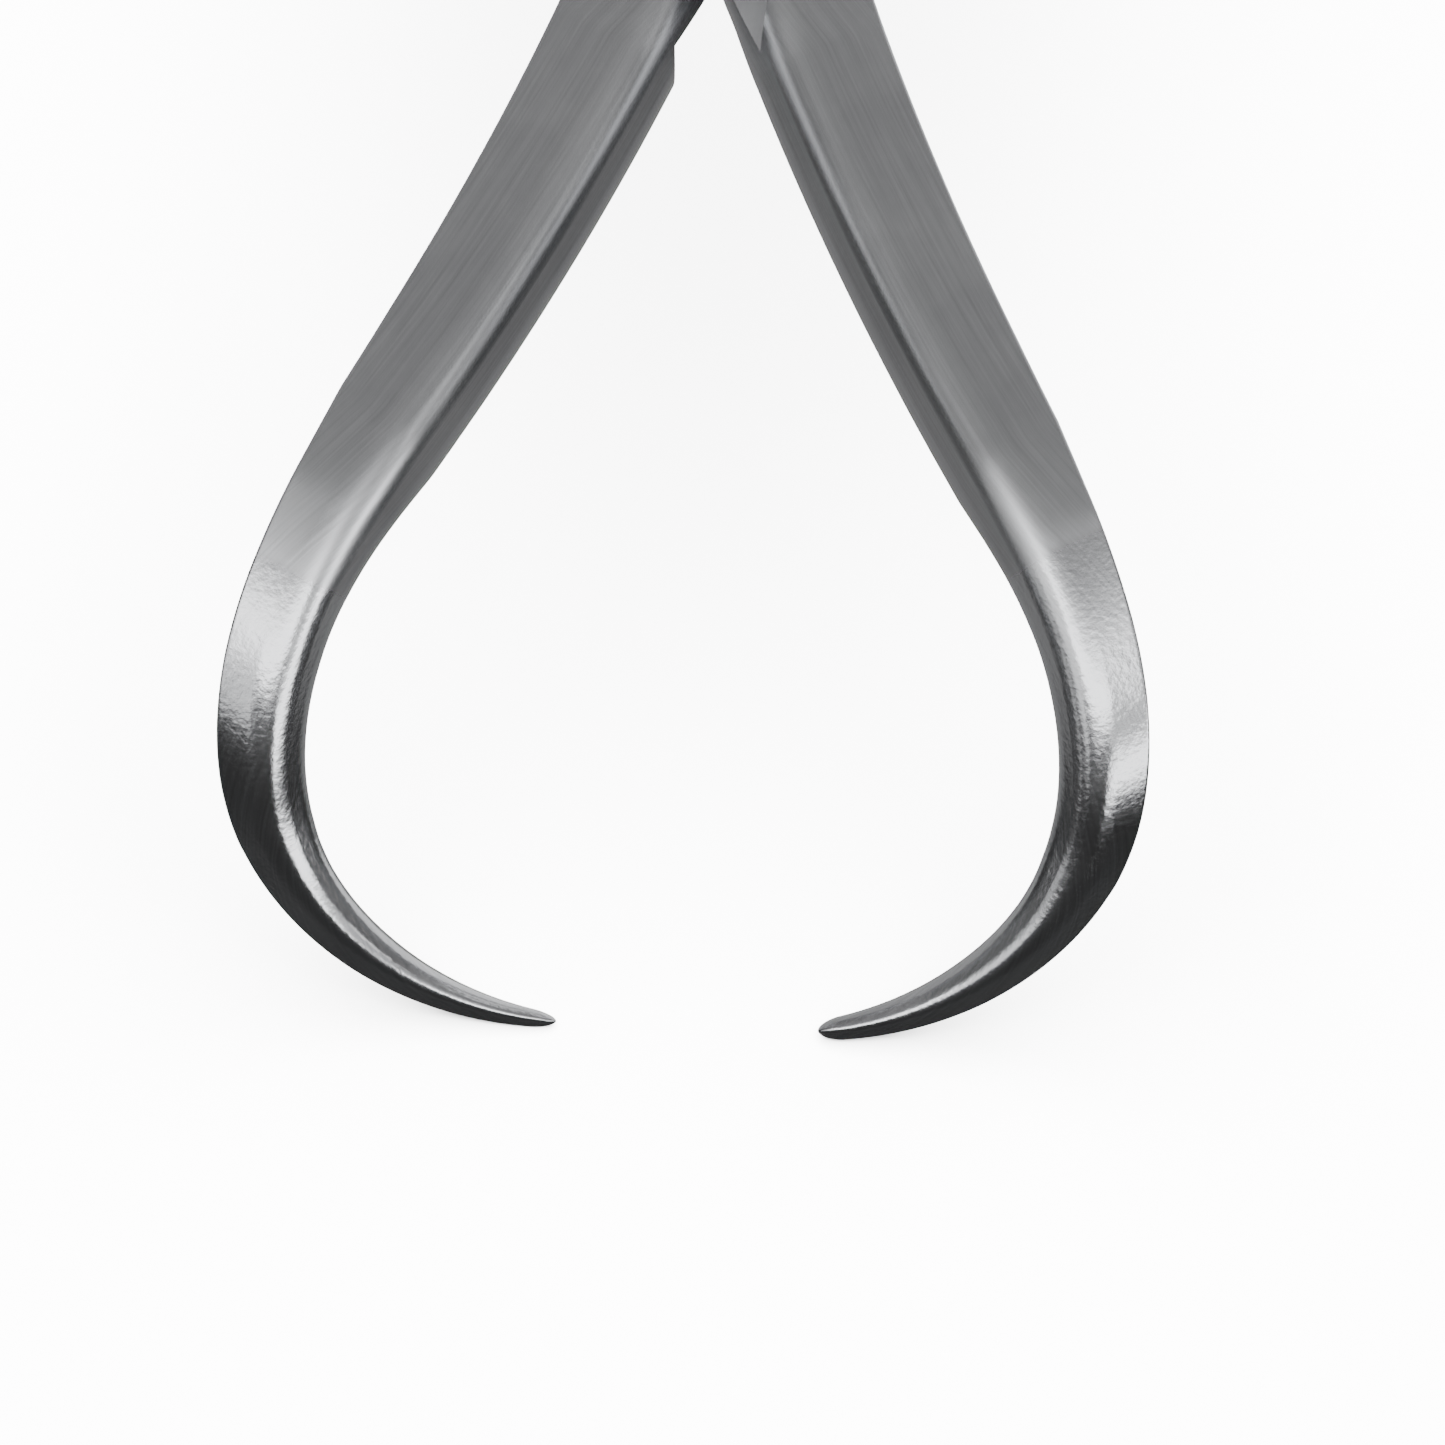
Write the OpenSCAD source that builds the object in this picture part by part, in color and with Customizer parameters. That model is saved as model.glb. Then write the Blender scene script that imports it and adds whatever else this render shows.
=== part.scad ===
// Extraction forceps with two pointed, horn-shaped beaks. Two forged halves cross at a
// lapped joint and turn on one screw. The forceps stands on its two horn tips and its two
// handle ends. Sizes are in millimetres and angles in degrees.
// The screw's axis points up, the beaks point to -Y and the handles to +Y.

/* [Joint] */

// Radius of the round cheek on each half
joint_radius = 7.0; // [6:0.1:9]
// Thickness of both cheeks together
joint_thickness = 6.6; // [5:0.1:9]
// Bevel on the rim of each cheek
cheek_bevel = 0.5; // [0.2:0.1:1]
// Gap between the two sliding faces of the joint
lap_gap = 0.06; // [0.02:0.01:0.15]
// Gap around a cheek where the other half is cut away
cheek_clearance = 0.2; // [0.1:0.05:0.4]
// Distance from the middle plane to the side of the relief cuts, beside the screw
relief_half_width = 3.1; // [2.6:0.1:4]
// The same distance where the relief cuts end
relief_end_width = 1.15; // [0.8:0.05:2.4]
// Distance from the screw to the end of the relief cuts
relief_reach = 13.5; // [12:0.5:20]

/* [Screw] */

// Radius of the plain shank that the upper half turns on
shank_radius = 2.4; // [1.8:0.1:3]
// Radius of the threaded end, held in the lower half
thread_radius = 2.0; // [1.4:0.1:2.8]
// Radius of the flat head
head_radius = 3.8; // [3:0.1:5]
// Thickness of the flat head
head_thickness = 1.3; // [0.8:0.1:2]
// Depth of the head below the cheek's face
head_recess = 0.15; // [0.05:0.05:0.5]
// Radial gap between the shank and its bore
running_clearance = 0.05; // [0.02:0.01:0.1]
// Radial gap around the head
head_clearance = 0.15; // [0.1:0.05:0.3]
// Width of the screwdriver slot
slot_width = 0.9; // [0.6:0.1:1.4]
// Depth of the screwdriver slot
slot_depth = 0.7; // [0.4:0.1:1]

/* [Beak outline] */

// Lean of each half from the middle plane where it passes the screw
crossing_angle = 10.1; // [8:0.1:14]
// Length of the curved neck in front of the screw
neck_length = 11; // [9:0.5:14]
// Outward turn of the neck
neck_turn = 11.7; // [8:0.1:16]
// Length of the slightly bowed upper arm
bow_length = 11.8; // [8:0.1:16]
// Outward turn of the upper arm
bow_turn = 6; // [4:0.1:10]
// Length of the nearly straight lower arm
arm_length = 7.4; // [6:0.1:14]
// Outward turn of the lower arm
arm_turn = 2.6; // [0:0.1:3]
// Length where the arm eases into the knee
ease_length = 3; // [2:0.1:4]
// Inward turn of that length
ease_turn = 7.6; // [4:0.1:12]
// Length of the rounded knee
knee_length = 8.6; // [7:0.1:12]
// Inward turn of the knee
knee_turn = 36.3; // [30:0.1:48]
// Length of the hooked horn
horn_length = 13.65; // [9:0.1:16]
// Inward turn of the horn
horn_turn = 73.7; // [55:0.1:85]
// Length ground off the right-hand horn
horn_trim = 1.2; // [0:0.1:2]

/* [Beak side view] */

// Downward bend of the arms just in front of the joint
neck_drop_angle = 15; // [8:0.5:25]
// Centre-line radius of that bend
neck_drop_radius = 8; // [6:0.5:14]
// Forward distance along the arm to the start of the knee's bend
knee_start = 25.5; // [20:0.1:32]
// Downward bend over the knee
knee_drop_angle = 55; // [40:0.5:65]
// Centre-line radius of the knee's bend
knee_drop_radius = 12.6; // [9:0.1:18]

/* [Beak section] */

// Width of the arm at the neck
neck_width = 4.4; // [4:0.1:6]
// Width halfway along the arm
arm_width = 3.9; // [3:0.1:5]
// Width at the middle of the knee
knee_width = 3.3; // [2.4:0.1:4]
// Width where the horn starts
horn_width = 2.75; // [2:0.05:3.6]
// Width near the end of the horn
point_width = 1.75; // [1.2:0.05:2.2]
// Width at the rounded tip
tip_width = 0.5; // [0.4:0.05:1]
// Thickness of the arm at the joint
neck_depth = 5.9; // [5:0.1:7]
// Thickness along the arm
arm_depth = 4.6; // [3.6:0.1:6]
// Thickness where the horn starts
horn_depth = 3.0; // [2.2:0.1:4]
// Thickness at the rounded tip
tip_depth = 0.55; // [0.4:0.05:1.2]
// Share of the arm's width taken by the bevel on its inner side
arm_bevel = 0.2; // [0.15:0.01:0.45]
// Share of the width between the inner edge and the ridge, where the horn starts
horn_ridge = 0.42; // [0.3:0.01:0.65]
// The same share at the tip
point_ridge = 0.2; // [0.15:0.01:0.5]

/* [Handles] */

// Length of each handle from the screw, along its curve
handle_length = 140; // [120:1:155]
// Outward turn of the handle behind the joint
handle_flare = 9.6; // [6:0.1:13]
// Length of the straight shank before the grip's bow
handle_shank = 16; // [10:1:24]
// Inward turn of the bowed grip
handle_bow = 15.7; // [10:0.1:20]
// Length of the bowed grip
bow_grip = 76; // [60:1:90]
// Inward turn of the end of the handle
handle_tail_turn = 2; // [0:0.5:6]
// Distance from the screw to the start of the handle's downward bend
droop_start = 9; // [8:0.5:14]
// Centre-line radius of the handle's downward bend
droop_radius = 60; // [40:1:90]
// Width of the handle behind the joint
shank_width = 5.0; // [4:0.1:6]
// Thickness of the handle behind the joint
shank_depth = 5.4; // [4.4:0.1:7]
// Width of the grip
grip_width = 7.4; // [6:0.1:9]
// Thickness of the grip
grip_depth = 9.4; // [7:0.1:11]
// Length of the rounded handle end
handle_rounding = 3.6; // [2:0.1:5]
// Distance between the grip's grooves
groove_pitch = 2.0; // [1.5:0.1:3]
// Depth of the grip's grooves
groove_depth = 0.35; // [0.2:0.05:0.6]
// Distance from the screw to the first groove
groove_start = 52; // [44:1:70]
// Plain length between the last groove and the handle's end
groove_margin = 10; // [6:1:20]

/* [Hidden] */

$fn = 96;
cheek_thickness = joint_thickness / 2;
cut_height = 30;
beak_length = neck_length + bow_length + arm_length + ease_length + knee_length
    + horn_length;
handle_tail = handle_length - neck_length - handle_shank - bow_grip;
groove_end = handle_length - groove_margin;
corner_steps = 4;
corner_count = 5;
ring_count = corner_count * (corner_steps + 1);
tip_rounding = 0.8;

// Each run is a length and the angle that the line turns over it.
beak_plan = [
    [neck_length, neck_turn],
    [bow_length, bow_turn],
    [arm_length, arm_turn],
    [ease_length, -ease_turn],
    [knee_length, -knee_turn],
    [horn_length, -horn_turn]
];
neck_drop_length = neck_drop_radius * neck_drop_angle * PI / 180;
knee_drop_length = knee_drop_radius * knee_drop_angle * PI / 180;
beak_side = [
    [joint_radius, 0],
    [neck_drop_length, neck_drop_angle],
    [knee_start - joint_radius - neck_drop_length, 0],
    [knee_drop_length, knee_drop_angle],
    [beak_length, 0]
];
handle_plan = [
    [neck_length, handle_flare],
    [handle_shank, 0],
    [bow_grip, -handle_bow],
    [handle_tail, -handle_tail_turn]
];

// Follows a list of runs for a distance. Gives the offset to the side, the distance
// ahead and the heading reached.
function follow(runs, distance, heading, i = 0, side = 0, ahead = 0) =
    let (run = min(distance, runs[i][0]))
    let (turn = runs[i][1] * run / runs[i][0])
    let (curve = turn * PI / 180 / max(run, 0.000001))
    let (step_side = abs(turn) < 0.0001
        ? run * sin(heading)
        : (cos(heading) - cos(heading + turn)) / curve)
    let (step_ahead = abs(turn) < 0.0001
        ? run * cos(heading)
        : (sin(heading + turn) - sin(heading)) / curve)
    distance <= runs[i][0] || i == len(runs) - 1
        ? [side + step_side, ahead + step_ahead, heading + turn]
        : follow(runs, distance - runs[i][0], heading + turn, i + 1,
            side + step_side, ahead + step_ahead);

// The handles droop until their ends stand level with the horn tips.
beak_end = follow(beak_plan, beak_length, crossing_angle);
beak_drop = follow(beak_side, beak_end[1], 0)[0] + tip_depth / 2;
handle_reach = follow(handle_plan, handle_length - handle_rounding, crossing_angle)[1];
function droop_for(angle, tries) =
    let (arc_drop = droop_radius * (1 - cos(angle)))
    let (arc_length = droop_radius * angle * PI / 180)
    let (wanted = beak_drop - grip_depth / 2 * cos(angle) - arc_drop)
    let (next = asin(wanted / (handle_reach - droop_start - arc_length)))
    tries == 0 ? next : droop_for(next, tries - 1);
droop_angle = droop_for(8, 8);
handle_side = [
    [droop_start, 0],
    [droop_radius * droop_angle * PI / 180, droop_angle],
    [handle_length, 0]
];

// Softens each corner of an outline with a short curve.
function soften(corners, cuts) = [
    for (i = [0 : len(corners) - 1])
        let (last = corners[(i + len(corners) - 1) % len(corners)])
        let (next = corners[(i + 1) % len(corners)])
        let (here = corners[i])
        let (back = min(cuts[i], norm(last - here) * 0.48))
        let (on = min(cuts[i], norm(next - here) * 0.48))
        let (a = here + (last - here) / norm(last - here) * back)
        let (b = here + (next - here) / norm(next - here) * on)
        for (t = [0 : corner_steps])
            let (u = t / corner_steps)
            (1 - u) * (1 - u) * a + 2 * u * (1 - u) * here + u * u * b
];

// Outline of the beak across its length: x points outward, y to the front face.
function beak_section(s, end) =
    let (f = s / beak_length)
    let (left = end - s)
    let (round = left >= tip_rounding ? 1
        : sqrt(max(1 - pow(1 - left / tip_rounding, 2), 0.0144)))
    let (w = round * lookup(f, [
        [0.2, neck_width],
        [0.44, arm_width],
        [0.65, knee_width],
        [0.77, horn_width],
        [0.88, point_width],
        [1, tip_width]
    ]))
    let (d = round * lookup(f, [
        [0.08, neck_depth],
        [0.22, arm_depth],
        [0.5, arm_depth],
        [0.76, horn_depth],
        [1, tip_depth]
    ]))
    let (ridge = lookup(f, [[0.5, arm_bevel], [0.76, horn_ridge], [1, point_ridge]]))
    let (shoulder = lookup(f, [[0.55, 0.5], [0.78, 0.08]]))
    let (waist = lookup(f, [[0.5, -0.05], [0.78, 0.08]]))
    let (foot = lookup(f, [[0.5, 0.86], [0.78, 0.6]]))
    let (soft = lookup(f, [[0.5, 1], [0.78, 1.3]]) * d / arm_depth)
    soften(
        [
            [w / 2, d * shoulder],
            [w / 2 * foot, -d / 2],
            [-w / 2 * foot, -d / 2],
            [-w / 2, d * waist],
            [-w / 2 + w * ridge, d / 2]
        ],
        [0.25 * soft, 1.3 * soft, 1.3 * soft, 0.6 * soft, 1.15 * soft]
    );

// Outline of the handle across its length, in the same sense as the beak's. The hand
// holds the side with negative x.
function handle_section(s) =
    let (left = handle_length - s)
    let (round = left >= handle_rounding ? 1
        : sqrt(max(1 - pow(1 - left / handle_rounding, 2), 0.04)))
    let (w = round * lookup(s, [
        [4, neck_width],
        [neck_length, shank_width],
        [neck_length + handle_shank, shank_width],
        [groove_start, grip_width - 0.8],
        [groove_end, grip_width]
    ]))
    let (d = round * lookup(s, [
        [4, neck_depth],
        [neck_length, shank_depth],
        [neck_length + handle_shank, shank_depth + 0.6],
        [groove_start, grip_depth - 1.2],
        [groove_start + 25, grip_depth],
        [handle_length, grip_depth]
    ]))
    let (grip = lookup(s, [[neck_length, 0], [groove_start, 1]]))
    let (cut = 1.1 + 1.9 * grip)
    let (turns = (s - groove_start) / groove_pitch)
    let (in_groove = s > groove_start && s < groove_end && turns - floor(turns + 0.25) > 0.2)
    let (outline = soften(
        [
            [w / 2, d * 0.5],
            [w / 2, -d * 0.5],
            [-w / 2, -d * 0.5],
            [-w / 2, 0],
            [-w / 2, d * 0.5]
        ],
        [cut, cut, cut * round, 0.3, cut * round]
    ))
    [for (p = outline) in_groove && p[0] < -w * 0.3 ? [p[0] + groove_depth, p[1]] : p];

// Puts an outline on the line of the beak or handle.
function beak_ring(s, end) =
    let (plan = follow(beak_plan, s, crossing_angle))
    let (view = follow(beak_side, plan[1], 0))
    let (middle = [plan[0], -view[1], -view[0]])
    let (across = [cos(plan[2]), sin(plan[2]) * cos(view[2]), sin(plan[2]) * sin(view[2])])
    let (front = [0, -sin(view[2]), cos(view[2])])
    [for (p = beak_section(s, end)) middle + p[0] * across + p[1] * front];

function handle_ring(s) =
    let (plan = follow(handle_plan, s, crossing_angle))
    let (view = follow(handle_side, plan[1], 0))
    let (middle = [-plan[0], view[1], -view[0]])
    let (across = [cos(plan[2]), sin(plan[2]) * cos(view[2]), -sin(plan[2]) * sin(view[2])])
    let (front = [0, sin(view[2]), cos(view[2])])
    [for (p = handle_section(s)) middle + p[0] * across + p[1] * front];

function beak_stations(end) = [
    for (left = [0, 0.04, 0.12, 0.25, 0.4, 0.6]) end - left,
    for (i = [0 : 62]) (end - tip_rounding) * (1 - i / 62)
];

groove_total = floor((groove_end - groove_start) / groove_pitch);
handle_stations = [
    for (i = [1 : 10]) neck_length * i / 10,
    for (i = [1 : 10]) neck_length + (groove_start - neck_length) * i / 11,
    for (i = [0 : groove_total - 1], part = [0, 0.5]) groove_start + groove_pitch * (i + part),
    groove_start + groove_pitch * groove_total,
    for (left = [handle_rounding, 2.4, 1.4, 0.7, 0.25, 0]) handle_length - left
];

function bar_rings(end) = concat(
    [for (s = beak_stations(end)) beak_ring(s, end)],
    [for (s = handle_stations) handle_ring(s)]
);

long_bar = bar_rings(beak_length);
short_bar = bar_rings(beak_length - horn_trim);
all_points = [for (ring = long_bar, p = ring) p];
front_end = min([for (p = all_points) p[1]]);
back_end = max([for (p = all_points) p[1]]);
lowest = min([for (p = all_points) p[2]]);

// Name of every node

// A closed skin over a list of rings.
module skin(rings) {
    last = len(rings) - 1;
    points = [for (ring = rings, p = ring) p];
    walls = [
        for (i = [0 : last - 1], j = [0 : ring_count - 1])
            let (k = (j + 1) % ring_count)
            let (a = i * ring_count + j)
            let (b = i * ring_count + k)
            let (c = a + ring_count)
            let (d = b + ring_count)
            for (face = [[a, c, b], [b, c, d]]) face
    ];
    first_cap = [for (j = [1 : ring_count - 2]) [0, j, j + 1]];
    base = last * ring_count;
    last_cap = [for (j = [1 : ring_count - 2]) [base, base + j + 1, base + j]];
    polyhedron(points = points, faces = concat(walls, first_cap, last_cap));
}

// Round cheek of one half, from the sliding face up, with a bevelled rim.
module cheek() {
    rotate_extrude()
        polygon([
            [0, lap_gap / 2],
            [joint_radius, lap_gap / 2],
            [joint_radius, cheek_thickness - cheek_bevel],
            [joint_radius - cheek_bevel, cheek_thickness],
            [0, cheek_thickness]
        ]);
}

// Room for the other half, below the sliding face.
module lap_room() {
    translate([0, 0, lap_gap / 2 - cut_height])
        cylinder(r = joint_radius + cheek_clearance, h = cut_height);
    translate([0, 0, lap_gap / 2 - cut_height])
        linear_extrude(cut_height)
            polygon([
                [relief_half_width, 0],
                [relief_end_width, relief_reach],
                [-relief_end_width, relief_reach],
                [-relief_half_width, 0],
                [-relief_end_width, -relief_reach],
                [relief_end_width, -relief_reach]
            ]);
}

module in_place() {
    translate([0, -(front_end + back_end) / 2, -lowest])
        children();
}

module lower_half() {
    color([0.72, 0.73, 0.75])
        in_place()
            difference() {
                union() {
                    difference() {
                        skin(short_bar);
                        mirror([0, 0, 1])
                            lap_room();
                    }
                    mirror([0, 0, 1])
                        cheek();
                }
                translate([0, 0, -joint_thickness])
                    cylinder(r = thread_radius, h = 2 * joint_thickness);
            }
}

module upper_half() {
    color([0.76, 0.77, 0.79])
        in_place()
            difference() {
                union() {
                    difference() {
                        mirror([1, 0, 0])
                            skin(long_bar);
                        lap_room();
                    }
                    cheek();
                }
                translate([0, 0, -joint_thickness])
                    cylinder(r = shank_radius + running_clearance, h = 2 * joint_thickness);
                translate([0, 0, cheek_thickness - head_recess - head_thickness])
                    cylinder(r = head_radius + head_clearance, h = joint_thickness);
            }
}

module joint_screw() {
    shank_low = -lap_gap / 2;
    head_low = cheek_thickness - head_recess - head_thickness + lap_gap / 2;
    head_top = cheek_thickness - head_recess;
    color([0.8, 0.81, 0.82])
        in_place()
            difference() {
                union() {
                    translate([0, 0, -cheek_thickness + head_recess])
                        cylinder(r = thread_radius, h = cheek_thickness);
                    translate([0, 0, shank_low])
                        cylinder(r = shank_radius, h = head_low - shank_low);
                    translate([0, 0, head_low])
                        cylinder(r = head_radius, h = head_top - head_low);
                }
                translate([-head_radius * 2, -slot_width / 2, head_top - slot_depth])
                    cube([head_radius * 4, slot_width, slot_depth * 2]);
            }
}

lower_half();
upper_half();
joint_screw();
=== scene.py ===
import bpy
import bmesh
from math import asin, cos, degrees, floor, radians, sin, sqrt
from mathutils import Vector, Matrix


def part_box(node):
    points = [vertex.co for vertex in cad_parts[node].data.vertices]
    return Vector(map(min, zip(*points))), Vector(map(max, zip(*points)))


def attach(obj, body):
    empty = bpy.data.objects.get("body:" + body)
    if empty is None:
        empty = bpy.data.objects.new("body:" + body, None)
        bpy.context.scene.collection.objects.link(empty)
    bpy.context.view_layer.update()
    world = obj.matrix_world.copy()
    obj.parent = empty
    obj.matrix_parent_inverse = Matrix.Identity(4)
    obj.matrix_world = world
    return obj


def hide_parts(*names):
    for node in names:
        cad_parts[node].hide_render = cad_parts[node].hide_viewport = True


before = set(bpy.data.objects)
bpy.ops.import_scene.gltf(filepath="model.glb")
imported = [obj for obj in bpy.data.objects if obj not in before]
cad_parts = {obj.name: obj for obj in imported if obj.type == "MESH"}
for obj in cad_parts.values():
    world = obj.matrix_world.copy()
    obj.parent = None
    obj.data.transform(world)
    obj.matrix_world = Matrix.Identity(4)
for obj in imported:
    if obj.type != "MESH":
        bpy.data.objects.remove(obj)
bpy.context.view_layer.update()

mm = 0.001
screwLow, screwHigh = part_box("joint_screw")
pivotX = (screwLow[0] + screwHigh[0]) / 2
pivotY = (screwLow[1] + screwHigh[1]) / 2


def onlySelect(piece):
    if bpy.context.object and bpy.context.object.mode != "OBJECT":
        bpy.ops.object.mode_set(mode="OBJECT")
    bpy.ops.object.select_all(action="DESELECT")
    piece.select_set(True)
    bpy.context.view_layer.objects.active = piece


def settle(piece):                       # place, turn and scale go into the mesh
    onlySelect(piece)
    bpy.ops.object.transform_apply(location=True, rotation=True, scale=True)


def applyAll(piece):
    onlySelect(piece)
    for modifier in list(piece.modifiers):
        bpy.ops.object.modifier_apply(modifier=modifier.name)


def cutOrJoin(piece, tool, operation):   # the tool is used up
    modifier = piece.modifiers.new("cut", "BOOLEAN")
    modifier.operation = operation
    modifier.solver = "EXACT"
    modifier.object = tool
    modifier.material_mode = "TRANSFER"
    applyAll(piece)
    bpy.data.objects.remove(tool, do_unlink=True)


def pickFaces(piece, test):              # in edit mode, selects faces by their middle and normal
    mesh = bmesh.from_edit_mesh(piece.data)
    bpy.ops.mesh.select_all(action="DESELECT")
    for face in mesh.faces:
        if test(face.calc_center_median(), face.normal):
            face.select_set(True)
    mesh.select_flush(True)
    bmesh.update_edit_mesh(piece.data)


def pickEdges(piece, test):
    mesh = bmesh.from_edit_mesh(piece.data)
    bpy.ops.mesh.select_all(action="DESELECT")
    bpy.ops.mesh.select_mode(type="EDGE")
    for edge in mesh.edges:
        if test(edge.verts[0].co, edge.verts[1].co):
            edge.select_set(True)
    bmesh.update_edit_mesh(piece.data)


def hexColour(text):                     # sRGB hex to linear
    parts = [int(text[i:i + 2], 16) / 255 for i in (1, 3, 5)]
    return [c / 12.92 if c <= 0.04045 else ((c + 0.055) / 1.055) ** 2.4 for c in parts] + [1.0]


def addNode(material, kind, settings=None, links=None):
    tree = material.node_tree
    node = tree.nodes.new(kind)
    for name, value in (settings or {}).items():
        if name == "stops":
            setStops(node.color_ramp, value)
        elif isinstance(name, str) and name in node.bl_rna.properties:
            setattr(node, name, value)
        else:
            node.inputs[name].default_value = value
    for name, source in (links or {}).items():
        tree.links.new(source, node.inputs[name])
    return node


def setStops(colourRamp, stops):         # each stop is a place and a grey level or a colour
    while len(colourRamp.elements) < len(stops):
        colourRamp.elements.new(0.5)
    for element, (place, value) in zip(colourRamp.elements, stops):
        element.position = place
        element.color = value if isinstance(value, list) else (value, value, value, 1)


def newMaterial(name):
    material = bpy.data.materials.new(name)
    material.use_nodes = True
    material.node_tree.nodes.clear()
    return material


steelLook = {
    "colour": "#c6c7c9",          # stainless steel
    "darkColour": "#b2b3b6",
    "satinRoughness": 0.24,       # arms, ground along their length
    "polishRoughness": 0.15,      # knees and horns, buffed
    "scratchWidth": 0.12,         # mm between grinding lines, coarser than real ones so that they show
    "scratchLength": 7.0,         # mm
    "scratchLean": 3.0,           # degrees from the length of the bar
    "streakLow": 0.82,            # share of the light kept by the darkest lines
    "linesLeft": 0.25,            # share of the lines' depth left on the buffed part
    "strayWidth": 0.3,            # mm, the odd deeper scratch
    "strayLength": 5.0,
    "strayLean": -14.0,
    "strayDepth": 0.35,           # share of a grinding line's depth
    "peelSize": 0.22,             # mm, ripple left by buffing
    "cloudSize": 3.125,           # mm, faint uneven tint
    "gritSize": 0.111,            # mm
    "lineDepth": 0.009,           # mm
    "peelDepth": 0.025,
    "gritDepth": 0.002,
    "lineStrength": 0.5,
    "peelStrength": 0.5,
    "gritStrength": 0.15,
    "lineRough": 0.10,            # roughness added by the lines and by the uneven tint
    "cloudRough": 0.05,
    "polishStart": 30.9,          # mm from the screw, where the buffed part starts
    "polishEnd": 31.4,
    "leftLag": 2.0,               # mm further on the left-hand half
}


def makeForgedSteel():
    # martensitic stainless steel, ground lengthwise to a satin and buffed on the horns: grey,
    # soft-edged reflections with fine lines on the arms, sharper and slightly rippled ones below
    s = steelLook
    m = newMaterial("satin stainless forging")
    uv = addNode(m, "ShaderNodeUVMap", {"uv_map": "UVMap"}).outputs["UV"]
    place = addNode(m, "ShaderNodeTexCoord").outputs["Object"]
    split = addNode(m, "ShaderNodeSeparateXYZ", links={"Vector": uv})
    side = addNode(m, "ShaderNodeSeparateXYZ", links={"Vector": place}).outputs["X"]
    onLeft = addNode(m, "ShaderNodeMath", {"operation": "LESS_THAN", 1: 0.0}, {0: side}).outputs["Value"]
    lag = addNode(m, "ShaderNodeMath", {"operation": "MULTIPLY", 1: s["leftLag"]},
                  {0: onLeft}).outputs["Value"]
    station = addNode(m, "ShaderNodeMath", {"operation": "ADD"},     # mm along the bar, negative on the beak
                      {0: split.outputs["Y"], 1: lag}).outputs["Value"]
    polish = addNode(m, "ShaderNodeMapRange", {
        "interpolation_type": "SMOOTHSTEP", "From Min": -s["polishStart"], "From Max": -s["polishEnd"],
        "To Min": 0.0, "To Max": 1.0}, {"Value": station}).outputs["Result"]
    # long thin cells on the unrolled bar make the grinding lines
    lineMap = addNode(m, "ShaderNodeMapping", {
        "Rotation": (0, 0, radians(s["scratchLean"])),
        "Scale": (1 / s["scratchWidth"], 1 / s["scratchLength"], 1)}, {"Vector": uv}).outputs["Vector"]
    lines = addNode(m, "ShaderNodeTexNoise", {
        "Scale": 1.0, "Detail": 4.0, "Roughness": 0.65}, {"Vector": lineMap}).outputs["Fac"]
    strayMap = addNode(m, "ShaderNodeMapping", {
        "Rotation": (0, 0, radians(s["strayLean"])),
        "Scale": (1 / s["strayWidth"], 1 / s["strayLength"], 1)}, {"Vector": uv}).outputs["Vector"]
    stray = addNode(m, "ShaderNodeTexNoise", {
        "Scale": 1.0, "Detail": 3.0, "Roughness": 0.7}, {"Vector": strayMap}).outputs["Fac"]
    strayCut = addNode(m, "ShaderNodeValToRGB", {
        "stops": [(0.0, 0.0), (0.62, 0.0), (0.72, 1.0)]}, {"Fac": stray}).outputs["Color"]
    peel = addNode(m, "ShaderNodeTexNoise", {
        "Scale": 1000 / s["peelSize"], "Detail": 2.0, "Roughness": 0.5}, {"Vector": place}).outputs["Fac"]
    cloud = addNode(m, "ShaderNodeTexNoise", {
        "Scale": 1000 / s["cloudSize"], "Detail": 3.0, "Roughness": 0.6}, {"Vector": place}).outputs["Fac"]
    grit = addNode(m, "ShaderNodeTexNoise", {
        "Scale": 1000 / s["gritSize"], "Detail": 2.0, "Roughness": 0.6}, {"Vector": place}).outputs["Fac"]
    colour = addNode(m, "ShaderNodeValToRGB", {
        "stops": [(0.0, hexColour(s["darkColour"])), (1.0, hexColour(s["colour"]))]},
        {"Fac": cloud}).outputs["Color"]
    streak = addNode(m, "ShaderNodeMapRange", {      # fine light and dark lines along the arms
        "From Min": 0.3, "From Max": 0.7, "To Min": s["streakLow"], "To Max": 1.0},
        {"Value": lines}).outputs["Result"]
    colour = addNode(m, "ShaderNodeVectorMath", {"operation": "MULTIPLY"},
                     {0: colour, 1: streak}).outputs["Vector"]
    baseRough = addNode(m, "ShaderNodeMapRange", {
        "From Min": 0.0, "From Max": 1.0, "To Min": s["satinRoughness"], "To Max": s["polishRoughness"]},
        {"Value": polish}).outputs["Result"]
    lineRough = addNode(m, "ShaderNodeMath", {"operation": "MULTIPLY", 1: s["lineRough"]},
                        {0: lines}).outputs["Value"]
    rough = addNode(m, "ShaderNodeMath", {"operation": "ADD"}, {0: baseRough, 1: lineRough}).outputs["Value"]
    cloudRough = addNode(m, "ShaderNodeMath", {"operation": "MULTIPLY", 1: s["cloudRough"]},
                         {0: cloud}).outputs["Value"]
    rough = addNode(m, "ShaderNodeMath", {"operation": "ADD"}, {0: rough, 1: cloudRough}).outputs["Value"]
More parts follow.
